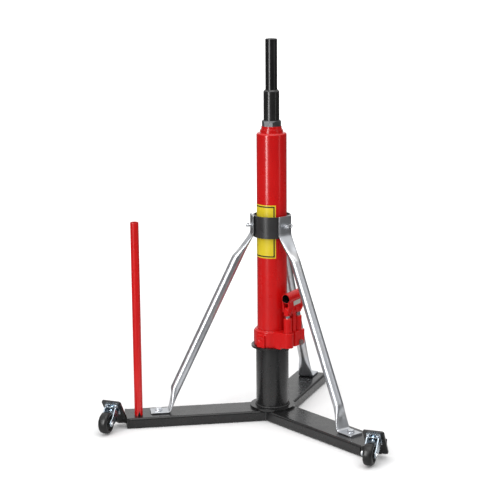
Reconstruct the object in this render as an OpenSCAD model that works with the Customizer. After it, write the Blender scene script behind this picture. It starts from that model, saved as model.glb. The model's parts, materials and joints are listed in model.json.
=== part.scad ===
// Tripod hydraulic transmission jack: a long two-stage ram on a column, on a three-legged base.
// Z is up, the floor is Z = 0, the ram axis is the Z axis and the short rear leg points along +Y.
// Azimuths are degrees clockwise from +Y, seen from above.

/* [Base] */
// Length of each front leg from the ram axis to its end
front_leg_len = 390; // [370:2:420]
// Length of the rear leg from the ram axis to its end
rear_leg_len = 330; // [328:2:360]
// Width of the rectangular leg tube
leg_w = 90; // [86:1:96]
// Height of the rectangular leg tube
leg_h = 28.5; // [28:0.5:32]
// Wall of the leg tube
leg_wall = 3; // [2.5:0.5:4]

/* [Column] */
// Outer diameter of the column tube
column_d = 87; // [86:0.5:89]
// Outer diameter of the flange that stands on the legs
foot_flange_d = 120; // [116:1:126]
// Height of the underside of the jack's base casting above the floor
casting_z = 201; // [196:1:206]

/* [Hydraulic unit] */
// Outer diameter of the oil reservoir tube
tube_d = 79; // [78:0.5:80]
// Height of the shoulder on top of the reservoir tube above the floor
shoulder_z = 769; // [759:1:779]
// Diameter of the outer ram, the first stage
outer_ram_d = 41.2; // [41:0.1:41.4]
// Height of the top of the outer ram at rest
outer_ram_top = 880; // [870:1:890]
// Diameter of the inner ram, the second stage
inner_ram_d = 30.8; // [30.6:0.1:30.9]
// Height of the top of the inner ram at rest
inner_ram_top = 1011; // [1000:1:1020]
// Diameter of the saddle bore in the top of the inner ram
saddle_bore_d = 19; // [16:0.5:20]
// Depth of the saddle bore
saddle_bore_depth = 45; // [30:1:60]

/* [Hand pump] */
// Azimuth of the hand pump
pump_az = 106.5; // [104:0.5:109]
// Distance from the ram axis to the pump's plane
pump_r = 67; // [66:0.5:69]
// Distance of each plunger from the fulcrum
plunger_arm = 22; // [21:0.5:23]
// Tilt of the rocker at rest, its front end low
rest_tilt = 4; // [0:1:6]
// Outer diameter of the handle socket
socket_d = 27; // [26:0.5:28]
// Bore of the handle socket
socket_bore = 22.5; // [22.2:0.1:23]

/* [Collar and struts] */
// Outer diameter of the collar band
collar_d = 100; // [98:1:104]
// Height of the collar band's lower edge above the floor
collar_z = 496; // [486:1:506]
// Height of the collar band
collar_h = 57; // [50:1:60]
// Diameter of the strut tube
strut_d = 26.9; // [25:0.1:27.2]
// Width of the flattened strut ends
strut_tab_w = 42; // [40:1:44]
// Distance from the ram axis to the strut's lower bend
strut_foot_r = 281; // [278:1:284]

/* [Casters] */
// Distance of each bracket's centre from the middle plane
bracket_x = 356; // [354:1:358]
// Slope of the bracket plate from the vertical
bracket_tilt = 34; // [32:1:36]
// Diameter of the caster wheel
wheel_d = 56; // [50:1:56]
// Width of the caster wheel
wheel_w = 24; // [22:1:25]

/* [Handle] */
// Outer diameter of the pump handle tube
handle_d = 22; // [21.6:0.1:22]
// Length of the pump handle
handle_len = 520; // [400:5:560]

/* [Hidden] */
$fn = 64;

// Azimuths of the legs and of the struts above them
left_az = 240;
right_az = 120;
rear_az = 0;
LEG_AZ = [rear_az, right_az, left_az];

// Running clearance between sliding or turning parts
play = 0.05;

// Legs
leg_corner = 6;
end_plate_t = 4;
flange_t = 6;
cap_t = 4;

// Column
column_r = column_d / 2;
column_wall = 4;
foot_flange_t = 6;
top_flange_t = 5;
top_flange_r = 56;
top_flange_z = casting_z - top_flange_t;
flange_bolt_r = 3;
flange_bolt_circle = 48.5;

// Casting and reservoir
casting_h = 45;
casting_top = casting_z + casting_h;
casting_r = 47.5;
lug_r = 53;
lug_h = casting_h - 11;
lug_w = 24;
tube_r = tube_d / 2;
tube_wall = 3;
tube_seat_z = casting_top - 8;
barrel_r = 27;
barrel_bore_r = 22.6;
barrel_z = casting_z + 25;
cap_z = shoulder_z - 22;
cap_rim_z = shoulder_z - 14;
neck_z = shoulder_z + 17;
neck_r = 26.5;
gland_h = 15;
wiper_z = neck_z - 19;
filler_z = shoulder_z - 57;
filler_az = 16.5;

// Rams
outer_r = outer_ram_d / 2;
outer_bore_r = 16.5;
outer_len = 574;
outer_ram_z = outer_ram_top - outer_len;
outer_piston_z = outer_ram_z - 10;
inner_r = inner_ram_d / 2;
inner_len = 571;
inner_ram_z = inner_ram_top - inner_len;
inner_piston_z = inner_ram_z - 8;
guide_len = 28;

// Hand pump, in a frame with +X towards the front and +Y outwards
cylinder_r = 11;
cylinder_top = casting_top + 39.5;
cylinder_seat_z = casting_top - 10;
plunger_r = 6;
pin_z = casting_top + 63;
pump_pin_r = 3.5;
fulcrum_r = 4;
head_t = 13;
head_w = 16;
plate_in = 7;
plate_out = 11;
socket_rise = 32;
socket_front = 28;
socket_rear = 45;
valve_x = -20;
valve_z = casting_z + 13;
valve_r = 5;
valve_seat_y = 52;
release_ball_r = 4.5;
check_z = casting_z + 22;
block_y = 78;
boss_lift = 5;

// Collar, studs and struts
collar_r = collar_d / 2;
collar_wall = 3.5;
liner_gap = 0.35;
stud_r = 4;
stud_z = collar_z + 30;
stud_end = 69;
clip_y = 63;
wire_r = 1.3;
tab_t = 5;
tab_y = collar_r + 0.2;
tab_top = collar_z + 59;
tab_len = 50;
foot_tab_len = 49;
foot_bolt_y = 308;
foot_bolt_r = 5;

// Casters, in a frame on the bracket plate with +Z up the slope and -Y out of its front face
bracket_y = -210;
bracket_z = 11;
plate_w = 54;
plate_len = 85;
plate_t = 5;
swivel_z = 59;
axle_up = 1.5;
wheel_y = -54.5;
caster_plate_w = 36;
wheel_r = wheel_d / 2;
axle_r = 4;
fork_in = wheel_w / 2 + 1.2;
fork_t = 3;
bolt_off = 12.5;

// Handle
handle_r = handle_d / 2;
handle_y = 363;
handle_x = -16;
peg_r = 9.2;
peg_h = 40;

// Label
label_az = [145, 265];
label_z = [442, 583];
label_t = 0.3;

// ---- Shared shapes ----

// Places children at an azimuth, with +Y outwards and +X clockwise
module at_az(az) {
    rotate([0, 0, -az]) children();
}

module ring(r_out, r_in, z0, z1) {
    translate([0, 0, z0]) difference() {
        cylinder(r = r_out, h = z1 - z0);
        translate([0, 0, -1]) cylinder(r = r_in, h = z1 - z0 + 2);
    }
}

// A disc or rod along +Z between two heights
module rod_z(r, z0, z1) {
    translate([0, 0, z0]) cylinder(r = r, h = z1 - z0);
}

// A rod along X, at a given height
module rod_x(r, x0, x1) {
    translate([x0, 0, 0]) rotate([0, 90, 0]) cylinder(r = r, h = x1 - x0);
}

// A rod along Y
module rod_y(r, y0, y1) {
    translate([0, y0, 0]) rotate([-90, 0, 0]) cylinder(r = r, h = y1 - y0);
}

// Hexagonal head along Z, given its size across flats
module hex(flats, z0, z1) {
    translate([0, 0, z0]) cylinder(d = flats / cos(30), h = z1 - z0, $fn = 6);
}

module round_rect(w, h, r) {
    square([w - 2 * r, h], center = true);
    square([w, h - 2 * r], center = true);
    for (sx = [-1, 1], sy = [-1, 1])
        translate([sx * (w / 2 - r), sy * (h / 2 - r)]) circle(r = r, $fn = 32);
}

// A bar with a rounded rectangular section along +Y, resting on Z = 0 at its lowest
module bar_y(w, h, r, y0, y1) {
    translate([0, y0, leg_h / 2]) rotate([-90, 0, 0]) linear_extrude(y1 - y0) round_rect(w, h, r);
}

// ---- Base ----

module leg(len) {
    difference() {
        intersection() {
            difference() {
                bar_y(leg_w, leg_h, leg_corner, 0, len);
                bar_y(leg_w - 2 * leg_wall, leg_h - 2 * leg_wall, leg_corner - leg_wall, -1, len + 1);
            }
            // Mitre against the other two legs
            linear_extrude(leg_h)
                polygon([[0, 0], [leg_w, leg_w / tan(60)], [leg_w, len],
                         [-leg_w, len], [-leg_w, leg_w / tan(60)]]);
        }
        translate([0, foot_bolt_y, leg_h - leg_wall - 1]) cylinder(r = foot_bolt_r, h = leg_wall + 2);
    }
}

module front_leg_left() {
    color("#2b2b2d") at_az(left_az) leg(front_leg_len);
}

module front_leg_right() {
    color("#2b2b2d") at_az(right_az) leg(front_leg_len);
}

module rear_leg() {
    color("#2b2b2d") at_az(rear_az) leg(rear_leg_len);
}

module leg_end_plates() {
    color("#2b2b2d") for (az = [left_az, right_az])
        at_az(az) bar_y(leg_w - 2 * leg_wall, leg_h - 2 * leg_wall, leg_corner - leg_wall,
                        front_leg_len - end_plate_t, front_leg_len);
}

module rear_end_cap() {
    color("#1b1b1c") at_az(rear_az) {
        bar_y(leg_w, leg_h, leg_corner, rear_leg_len, rear_leg_len + cap_t);
        bar_y(leg_w - 2 * leg_wall, leg_h - 2 * leg_wall, leg_corner - leg_wall,
              rear_leg_len - 12, rear_leg_len + 1);
    }
}

// ---- Column ----

module column_foot_flange() {
    color("#303032") ring(foot_flange_d / 2, column_r - column_wall, leg_h, leg_h + foot_flange_t);
}

module column_tube() {
    color("#303032") ring(column_r, column_r - column_wall, leg_h + foot_flange_t, top_flange_z);
}

module flange_bolt_places() {
    for (k = [0:3]) at_az(pump_az + 90 * k) translate([0, flange_bolt_circle, 0]) children();
}

module column_top_flange() {
    color("#303032") difference() {
        ring(top_flange_r, 30, top_flange_z, casting_z);
        flange_bolt_places() rod_z(flange_bolt_r + 0.2, top_flange_z - 1, casting_z + 1);
    }
}

module flange_bolts() {
    color("#8d9093") flange_bolt_places() difference() {
        union() {
            rod_z(5, top_flange_z - 5, top_flange_z);
            rod_z(flange_bolt_r, top_flange_z - 1, casting_z + 9);
        }
        hex(5, top_flange_z - 6, top_flange_z - 2.5);
    }
}

// ---- Base casting of the hydraulic unit ----

module pump_boss_outline() {
    translate([plunger_arm, pump_r]) circle(r = 15);
    translate([plunger_arm - 15, 30]) square([30, pump_r - 30]);
    translate([-42, 30]) square([46, block_y - 35]);
    translate([-37, 30]) square([41, block_y - 30]);
    translate([-37, block_y - 5]) circle(r = 5, $fn = 32);
    translate([-8, 45]) square([30, 28]);
}

module casting_body_outline() {
    circle(r = casting_r);
    at_az(pump_az) pump_boss_outline();
}

module casting_lug_outline() {
    for (k = [1:3]) at_az(pump_az + 90 * k) translate([-lug_w / 2, 30]) square([lug_w, lug_r - 30]);
}

// Shallow round recesses in the faces of the lugs
module lug_recesses() {
    for (k = [1:3]) at_az(pump_az + 90 * k) translate([0, 0, casting_z + 22])
        rod_y(6.5, lug_r - 1.2, lug_r + 1);
}

module pump_passages() {
    for (sx = [-1, 1]) translate([sx * plunger_arm, pump_r, 0]) {
        rod_z(cylinder_r, cylinder_seat_z, casting_top + 1);
        rod_z(plunger_r + 0.4, casting_z + 27, cylinder_seat_z + 1);
        rod_z(3.2, check_z, casting_z + 28);
    }
    // Fulcrum post spigot
    translate([0, pump_r, 0]) rod_z(5, cylinder_seat_z, casting_top + 1);
    // Release valve bore and the drilled way to the cylinder
    translate([valve_x, 0, valve_z]) {
        rod_y(valve_r + play, valve_seat_y, block_y + 1);
        rod_y(2.5, 20, valve_seat_y + 1);
    }
}

module jack_base() {
    color("#c3211e") difference() {
        union() {
            translate([0, 0, casting_z]) linear_extrude(lug_h) {
                casting_body_outline();
                casting_lug_outline();
            }
            translate([0, 0, casting_z + lug_h - 1]) linear_extrude(casting_h - lug_h - 2) casting_body_outline();
            rod_z(casting_r - 3, casting_top - 10, casting_top);
            translate([0, 0, casting_top - 10]) linear_extrude(10) at_az(pump_az) pump_boss_outline();
        }
        // Raised underside of the pump boss
        at_az(pump_az) translate([-60, 54, casting_z - 1]) cube([120, 60, boss_lift + 1]);
        lug_recesses();
        rod_z(tube_r, tube_seat_z, casting_top + 1);
        rod_z(barrel_r, barrel_z, casting_top);
        rod_z(5, casting_z + 6, barrel_z + 1);
        at_az(pump_az) pump_passages();
        flange_bolt_places() rod_z(flange_bolt_r, casting_z - 1, casting_z + 9.5);
    }
}

// ---- Reservoir, barrel and top ----

module filler_axis() {
    at_az(filler_az) translate([0, 0, filler_z]) children();
}

module reservoir_tube() {
    color("#c3211e") difference() {
        ring(tube_r, tube_r - tube_wall, tube_seat_z, cap_rim_z);
        filler_axis() rod_y(5, 30, tube_r + 1);
    }
}

module filler_plug() {
    color("#232325") filler_axis() {
        rod_y(5, tube_r - tube_wall - 3, tube_r + 1);
        rod_y(8, tube_r + 0.05, tube_r + 3.5);
    }
}

module cylinder_barrel() {
    color("#77797c") ring(barrel_r, barrel_bore_r, barrel_z, cap_z + 12);
}

module top_cap() {
    edge = 5;
    color("#c3211e") difference() {
        union() {
            rod_z(tube_r - tube_wall, cap_z, shoulder_z);
            rotate_extrude() {
                translate([0, cap_rim_z]) square([tube_r, shoulder_z - cap_rim_z - edge]);
                translate([0, cap_rim_z]) square([tube_r - edge, shoulder_z - cap_rim_z]);
                translate([tube_r - edge, shoulder_z - edge]) circle(r = edge, $fn = 48);
            }
            rod_z(neck_r + 3.5, shoulder_z, shoulder_z + 8);
            rod_z(neck_r + 1, shoulder_z, shoulder_z + 11);
            rod_z(neck_r, shoulder_z, neck_z);
        }
        rod_z(barrel_r, cap_z - 1, cap_z + 12);
        rod_z(outer_r + play, cap_z, neck_z + 1);
        rod_z(23, wiper_z, neck_z + 1);
    }
}

module wiper_seal() {
    color("#1a1a1b") ring(23, outer_r + play, wiper_z, wiper_z + 7);
}

module gland_nut() {
    color("#5d6163") difference() {
        union() {
            intersection() {
                hex(46.5, neck_z, neck_z + gland_h);
                union() {
                    rod_z(26, neck_z, neck_z + gland_h - 3);
                    translate([0, 0, neck_z + gland_h - 3]) cylinder(r1 = 26, r2 = 23, h = 3);
                }
            }
            rod_z(23, wiper_z + 7, neck_z + 1);
        }
        rod_z(outer_r + play, wiper_z, neck_z + gland_h + 1);
    }
}

// ---- Rams ----

module outer_ram() {
    color("#333436") difference() {
        union() {
            rod_z(outer_r, outer_ram_z, outer_ram_top - 4);
            translate([0, 0, outer_ram_top - 4]) cylinder(r1 = outer_r, r2 = outer_r - 3.4, h = 4);
        }
        rod_z(outer_bore_r, outer_ram_z - 1, outer_ram_top + 1);
    }
}

module outer_piston() {
    color("#8d9093") difference() {
        ring(barrel_bore_r - play, 8, outer_piston_z, outer_ram_z + 18);
        rod_z(outer_r, outer_ram_z, outer_ram_z + 20);
        ring(barrel_bore_r + 1, 19.5, outer_piston_z + 3, outer_piston_z + 7);
    }
}

module outer_piston_seal() {
    color("#1a1a1b") ring(barrel_bore_r - 0.02, 19.5, outer_piston_z + 3, outer_piston_z + 7);
}

module ram_guide() {
    color("#a8843f") ring(outer_bore_r, inner_r + play, outer_ram_top - guide_len - 1, outer_ram_top - 1);
}

module inner_ram() {
    color("#1e1e20") difference() {
        union() {
            rod_z(inner_r, inner_ram_z, inner_ram_top - 1);
            translate([0, 0, inner_ram_top - 1]) cylinder(r1 = inner_r, r2 = inner_r - 1, h = 1);
        }
        rod_z(saddle_bore_d / 2, inner_ram_top - saddle_bore_depth, inner_ram_top + 1);
    }
}

module inner_piston() {
    color("#8d9093") difference() {
        rod_z(outer_bore_r - play, inner_piston_z, inner_ram_z + 16);
        rod_z(inner_r, inner_ram_z, inner_ram_z + 17);
        ring(outer_bore_r + 1, 13.5, inner_piston_z + 2.5, inner_piston_z + 5.5);
    }
}

module inner_piston_seal() {
    color("#1a1a1b") ring(outer_bore_r - 0.02, 13.5, inner_piston_z + 2.5, inner_piston_z + 5.5);
}

// ---- Hand pump ----

// Places children at the pump plane's foot, under the fulcrum
module at_pump() {
    at_az(pump_az) translate([0, pump_r, 0]) children();
}

// Height of a plunger above its level position; side is 1 for the front and -1 for the rear
function plunger_lift(side) = -side * plunger_arm * sin(rest_tilt);

module pump_cylinder(side) {
    at_pump() translate([side * plunger_arm, 0, 0]) difference() {
        union() {
            rod_z(cylinder_r, cylinder_seat_z, cylinder_top - 1.5);
            translate([0, 0, cylinder_top - 1.5]) cylinder(r1 = cylinder_r, r2 = cylinder_r - 1.5, h = 1.5);
        }
        rod_z(plunger_r + play, cylinder_seat_z - 1, cylinder_top + 1);
    }
}

module pump_cylinder_front() {
    color("#c3211e") pump_cylinder(1);
}

module pump_cylinder_rear() {
    color("#c3211e") pump_cylinder(-1);
}

module plunger_rod(side) {
    at_pump() translate([side * plunger_arm, 0, plunger_lift(side)])
        rod_z(plunger_r, casting_top - 3, pin_z - 9);
}

module plunger_rod_front() {
    color("#b9bcbe") plunger_rod(1);
}

module plunger_rod_rear() {
    color("#b9bcbe") plunger_rod(-1);
}

// Forged head with a level slot for its pin
module plunger_head(side) {
    slot_half = pump_pin_r + 0.25;
    at_pump() translate([side * plunger_arm, 0, plunger_lift(side)]) difference() {
        union() {
            translate([-head_w / 2, -head_t / 2, pin_z - 15]) cube([head_w, head_t, 15]);
            translate([0, 0, pin_z]) rod_y(head_w / 2, -head_t / 2, head_t / 2);
        }
        rod_z(plunger_r, pin_z - 16, pin_z - 9);
        for (sx = [-1, 1]) translate([sx * 2, 0, pin_z]) rod_y(slot_half, -head_t, head_t);
        translate([-2, -head_t, pin_z - slot_half]) cube([4, 2 * head_t, 2 * slot_half]);
    }
}

module plunger_head_front() {
    color("#c3211e") plunger_head(1);
}

module plunger_head_rear() {
    color("#c3211e") plunger_head(-1);
}

module fulcrum_post() {
    color("#c3211e") at_pump() difference() {
        union() {
            rod_z(5, cylinder_seat_z, casting_top + 1);
            translate([-7, -head_t / 2, casting_top]) cube([14, head_t, pin_z - casting_top]);
            translate([0, 0, pin_z]) rod_y(8, -head_t / 2, head_t / 2);
        }
        translate([0, 0, pin_z]) rod_y(fulcrum_r, -head_t, head_t);
    }
}

module fulcrum_pin() {
    color("#8d9093") at_pump() translate([0, 0, pin_z]) rod_y(fulcrum_r, -plate_out - 3, plate_out + 3);
}

// Places children on the rocker at rest: the origin is the fulcrum, +X its front
module on_rocker() {
    at_pump() translate([0, 0, pin_z]) rotate([0, rest_tilt, 0]) children();
}

module rocker_plate() {
    half = plunger_arm + 8;
    rotate([90, 0, 0]) linear_extrude(plate_out - plate_in)
        polygon([[-half, -4], [-half + 5, -9], [half - 5, -9], [half, -4],
                 [half, socket_rise - 4], [-half - 6, socket_rise - 4], [-half - 6, 12]]);
}

module handle_socket() {
    color("#c3211e") on_rocker() difference() {
        union() {
            translate([0, 0, socket_rise]) rod_x(socket_d / 2, -socket_rear, socket_front);
            translate([0, plate_out, 0]) rocker_plate();
            translate([0, -plate_in, 0]) rocker_plate();
        }
        translate([0, 0, socket_rise]) rod_x(socket_bore / 2, -socket_rear - 1, socket_front + 6);
        rod_y(fulcrum_r + play, -20, 20);
        for (sx = [-1, 1]) translate([sx * plunger_arm, 0, 0]) rod_y(pump_pin_r, -20, 20);
    }
}

module plunger_pins() {
    color("#8d9093") on_rocker() for (sx = [-1, 1])
        translate([sx * plunger_arm, 0, 0]) rod_y(pump_pin_r, -plate_out - 3, plate_out + 3);
}

// Retaining rings on the two plunger pins
module pin_clips() {
    color("#6f7275") on_rocker() for (sx = [-1, 1], sy = [-1, 1])
        translate([sx * plunger_arm, sy * (plate_out + 1.1), 0]) rotate([90, 0, 0])
            ring(pump_pin_r + 2, pump_pin_r, -0.6, 0.6);
}

// Centre of the release valve's ball on its seat
release_ball_y = valve_seat_y + sqrt(release_ball_r * release_ball_r - 2.5 * 2.5);

module release_valve() {
    color("#9a9da0") at_az(pump_az) translate([valve_x, 0, valve_z]) {
        rod_y(valve_r, release_ball_y + release_ball_r + 0.1, block_y + 1);
        rod_y(7, block_y + 0.3, block_y + 6);
        translate([0, block_y + 3.5, 0]) rod_x(1.8, -8.2, 8.2);
    }
}

// Steel balls of the two delivery valves and of the release valve
module check_balls() {
    color("#b9bcbe") at_az(pump_az) {
        for (sx = [-1, 1]) translate([sx * plunger_arm, pump_r, check_z + 3]) sphere(r = 3);
        translate([valve_x, release_ball_y, valve_z]) sphere(r = release_ball_r);
    }
}

// ---- Collar and struts ----

module collar_band() {
    color("#3c3c3e") ring(collar_r, collar_r - collar_wall, collar_z, collar_z + collar_h);
}

module collar_liner() {
    color("#1a1a1b") ring(collar_r - collar_wall, tube_r + liner_gap, collar_z + 3, collar_z + collar_h - 3);
}

module collar_studs() {
    color("#8d9093") for (az = LEG_AZ) at_az(az) translate([0, 0, stud_z]) difference() {
        intersection() {
            rod_y(stud_r, collar_r - 4, stud_end);
            translate([0, 0, -stud_z]) ring(stud_end, collar_r, stud_z - 10, stud_z + 10);
        }
        translate([0, clip_y, 0]) rod_x(wire_r + 0.2, -10, 10);
    }
}

module hairpin_clip() {
    wave_z = stud_r + wire_r + 0.3;
    loop_r = wave_z / 2 + 1.2;
    loop_x = 12;
    leg_end = loop_x - sqrt(loop_r * loop_r - wave_z * wave_z / 4) + 0.4;
    mirror([1, 0, 0]) {
        rod_x(wire_r, -11, leg_end);
        translate([0, 0, wave_z]) rod_x(wire_r, -8, leg_end);
        translate([loop_x, 0, wave_z / 2]) rotate([90, 0, 0]) rotate_extrude()
            translate([loop_r, 0]) circle(r = wire_r, $fn = 24);
    }
}

module hairpin_clips() {
    color("#b9bcbe") for (az = LEG_AZ) at_az(az) translate([0, clip_y, stud_z]) hairpin_clip();
}

// Strut: an upright tab on the collar, a round tube, and a level tab on the leg. The ends are pressed
// flat against the tube's inner side, so the tube stands outside the line through its tabs.
module strut() {
    slice = 2;
    pinch_w = strut_tab_w - 1;
    lower_pinch = 62;
    upper_pinch = 58;
    press_offset = 9;
    top = [0, tab_y + tab_t / 2, tab_top - tab_len];
    foot = [0, strut_foot_r, leg_h + 5];
    lean = atan((foot[1] - top[1]) / (top[2] - foot[2]));
    len = norm(top - foot);
    module along(d, out = 0) {
        translate(foot) rotate([lean, 0, 0]) translate([0, out, d]) children();
    }
    module tube_end(d) {
        along(d, press_offset) rotate([0, 0, 360 / 64]) cylinder(r = strut_d / 2 - 0.3, h = slice, $fn = 32);
    }
    difference() {
        union() {
            translate([-strut_tab_w / 2, tab_y, tab_top - tab_len]) cube([strut_tab_w, tab_t, tab_len]);
            hull() {
                translate([-pinch_w / 2, tab_y + 0.3, tab_top - tab_len + 1]) cube([pinch_w, tab_t - 0.6, slice]);
                tube_end(len - upper_pinch);
            }
            along(lower_pinch + slice / 2, press_offset)
                cylinder(r = strut_d / 2, h = len - upper_pinch - lower_pinch);
            hull() {
                along(-1) translate([-pinch_w / 2, -tab_t / 2, 0]) cube([pinch_w, tab_t, slice]);
                tube_end(lower_pinch);
            }
            translate([-strut_tab_w / 2, strut_foot_r - 3, leg_h])
                cube([strut_tab_w, foot_tab_len + 3, tab_t]);
            translate([-strut_tab_w / 2, strut_foot_r - 4, leg_h]) cube([strut_tab_w, 8, tab_t + 3]);
        }
        translate([0, 0, stud_z]) rod_y(stud_r + 0.2, collar_r - 5, collar_r + 20);
        translate([0, foot_bolt_y, 0]) rod_z(foot_bolt_r + 0.2, leg_h - 1, leg_h + 10);
    }
}

module strut_left() {
    color("#c4c7c9") at_az(left_az) strut();
}

module strut_right() {
    color("#c4c7c9") at_az(right_az) strut();
}

module strut_rear() {
    color("#c4c7c9") at_az(rear_az) strut();
}

module foot_bolts() {
    color("#aeb1b3") for (az = LEG_AZ) at_az(az) translate([0, foot_bolt_y, 0]) {
        hex(16, leg_h + tab_t, leg_h + tab_t + 6.5);
        rod_z(foot_bolt_r, leg_h - 18, leg_h + tab_t + 1);
    }
}

module foot_nuts() {
    color("#8d9093") for (az = LEG_AZ) at_az(az) translate([0, foot_bolt_y, 0]) difference() {
        hex(16, leg_h - leg_wall - 8, leg_h - leg_wall);
        rod_z(foot_bolt_r, leg_h - 20, leg_h);
    }
}

// ---- Caster brackets and casters ----

// Places children on a bracket plate; side is -1 for the left and 1 for the right
module on_bracket(side) {
    translate([side * bracket_x, bracket_y, bracket_z]) rotate([bracket_tilt, 0, 0]) children();
}

module caster_bolt_places() {
    for (sx = [-1, 1], sz = [-1, 1])
        translate([sx * bolt_off, 0, swivel_z + sz * bolt_off]) children();
}

module bracket_plate() {
    difference() {
        translate([0, 0, plate_len / 2]) rotate([90, 0, 0]) linear_extrude(plate_t)
            round_rect(plate_w, plate_len, 6);
        caster_bolt_places() rod_y(3, -plate_t - 1, 1);
    }
}

// Angled plate welded to an end flange, with two ribs behind it
module caster_bracket(side) {
    az = side < 0 ? left_az : right_az;
    face = front_leg_len + flange_t;
    intersection() {
        on_bracket(side) bracket_plate();
        at_az(az) translate([-100, face - 1, 0]) cube([200, 100, 200]);
    }
    at_az(az) translate([-leg_w / 2 + 2, front_leg_len, 1.5]) cube([leg_w - 4, flange_t, leg_h - 1.5]);
    difference() {
        at_az(az) for (x = [-16, 0])
            translate([x - 2, face - 1, 4]) cube([4, 24, leg_h - 6]);
        on_bracket(side) translate([-100, -100 - plate_t / 2, -100]) cube([200, 100, 300]);
    }
}

module caster_bracket_left() {
    color("#262628") caster_bracket(-1);
}

module caster_bracket_right() {
    color("#262628") caster_bracket(1);
}

// Hex bolts with nuts that hold each caster on its bracket
module caster_plate_bolts() {
    color("#aeb1b3") for (side = [-1, 1]) on_bracket(side) caster_bolt_places() {
        rod_y(3, -plate_t - 3, 7);
        translate([0, -plate_t - 2.5, 0]) rotate([90, 0, 0]) hex(10, 0, 3);
        rotate([-90, 0, 0]) hex(10, 0, 5);
    }
}

module on_swivel(side) {
    on_bracket(side) translate([0, 0, swivel_z]) children();
}

// Fixed top plate with the raceway and the kingpin
module caster_plate(side) {
    on_swivel(side) difference() {
        union() {
            translate([-caster_plate_w / 2, -plate_t - 2.5, -caster_plate_w / 2])
                cube([caster_plate_w, 2.5, caster_plate_w]);
            rod_y(11.6, -plate_t - 6, -plate_t - 1);
            rod_y(5, -19, -plate_t - 1);
            rod_y(8, -19, -15.3);
        }
        translate([0, 0, -swivel_z]) caster_bolt_places() rod_y(3, -plate_t - 4, 0);
    }
}

module caster_plate_left() {
    color("#b5b9bc") caster_plate(-1);
}

module caster_plate_right() {
    color("#b5b9bc") caster_plate(1);
}

module fork_cheek() {
    rotate([90, 0, 90]) linear_extrude(fork_t) {
        polygon([[-11.2, 14], [-22, 14], [wheel_y - 5, axle_up + 6], [wheel_y - 5, axle_up - 6],
                 [-22, -16], [-11.2, -16]]);
        translate([wheel_y, axle_up]) circle(r = 9);
    }
}

module caster_fork(side) {
    on_swivel(side) difference() {
        union() {
            translate([-fork_in - 1, -15, -16]) cube([2 * fork_in + 2, 3.8, 30]);
            translate([fork_in, 0, 0]) fork_cheek();
            translate([-fork_in - fork_t, 0, 0]) fork_cheek();
        }
        rod_y(5 + play, -20, 0);
        translate([0, wheel_y, axle_up]) rod_x(axle_r, -30, 30);
    }
}

module caster_fork_left() {
    color("#b5b9bc") caster_fork(-1);
}

module caster_fork_right() {
    color("#b5b9bc") caster_fork(1);
}

module on_wheel(side) {
    on_swivel(side) translate([0, wheel_y, axle_up]) children();
}

// Hard rubber wheel with a rounded tread and dished sides
module caster_wheel(side) {
    tread = 4;
    on_wheel(side) rotate([0, 90, 0]) difference() {
        rotate_extrude() {
            translate([0, -wheel_w / 2 + tread]) square([wheel_r, wheel_w - 2 * tread]);
            translate([0, -wheel_w / 2]) square([wheel_r - tread, wheel_w]);
            for (s = [-1, 1]) translate([wheel_r - tread, s * (wheel_w / 2 - tread)])
                circle(r = tread, $fn = 32);
        }
        rod_z(axle_r + play, -wheel_w, wheel_w);
        for (s = [0, 1]) mirror([0, 0, s]) ring(wheel_r - 8, 9, wheel_w / 2 - 2.5, wheel_w / 2 + 1);
    }
}

module caster_wheel_left() {
    color("#1c1c1e") caster_wheel(-1);
}

module caster_wheel_right() {
    color("#1c1c1e") caster_wheel(1);
}

module caster_axle(side) {
    edge = fork_in + fork_t;
    on_wheel(side) {
        rod_x(axle_r, -edge - 6, edge + 1);
        rotate([0, 90, 0]) hex(11, edge, edge + 4);
        rotate([0, -90, 0]) hex(11, edge, edge + 5);
    }
}

module caster_axle_left() {
    color("#b9bcbe") caster_axle(-1);
}

module caster_axle_right() {
    color("#b9bcbe") caster_axle(1);
}

// ---- Handle ----

module at_handle() {
    at_az(left_az) translate([handle_x, handle_y, leg_h]) children();
}

// Tube with four pointed notches at its lower end, which key onto the release valve
module pump_handle() {
    notch_w = 8;
    notch_h = 14;
    color("#c3211e") at_handle() difference() {
        ring(handle_r, peg_r + 0.1, 0.2, handle_len);
        for (k = [0, 1]) rotate([0, 0, 5 + 90 * k]) rotate([90, 0, 0]) translate([0, 0, -20])
            linear_extrude(40) polygon([[-notch_w / 2, -1], [notch_w / 2, -1], [0, notch_h]]);
    }
}

module handle_peg() {
    color("#262628") at_handle() {
        rod_z(peg_r, 0, peg_h - 2);
        translate([0, 0, peg_h - 2]) cylinder(r1 = peg_r, r2 = peg_r - 2, h = 2);
    }
}

// Plain blank panel wrapped round the reservoir tube
module label_panel() {
    color("#e3cf58") rotate([0, 0, 90 - label_az[1]]) rotate_extrude(angle = label_az[1] - label_az[0])
        translate([tube_r, label_z[0]]) square([label_t, label_z[1] - label_z[0]]);
}

front_leg_left();
front_leg_right();
rear_leg();
leg_end_plates();
rear_end_cap();
column_foot_flange();
column_tube();
column_top_flange();
flange_bolts();
jack_base();
reservoir_tube();
cylinder_barrel();
top_cap();
gland_nut();
wiper_seal();
outer_ram();
outer_piston();
outer_piston_seal();
ram_guide();
inner_ram();
inner_piston();
inner_piston_seal();
pump_cylinder_front();
pump_cylinder_rear();
plunger_rod_front();
plunger_rod_rear();
plunger_head_front();
plunger_head_rear();
fulcrum_post();
fulcrum_pin();
handle_socket();
plunger_pins();
pin_clips();
release_valve();
check_balls();
filler_plug();
collar_band();
collar_liner();
collar_studs();
hairpin_clips();
strut_left();
strut_right();
strut_rear();
foot_bolts();
foot_nuts();
caster_bracket_left();
caster_bracket_right();
caster_plate_bolts();
caster_plate_left();
caster_plate_right();
caster_fork_left();
caster_fork_right();
caster_wheel_left();
caster_wheel_right();
caster_axle_left();
caster_axle_right();
pump_handle();
handle_peg();
label_panel();
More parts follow.
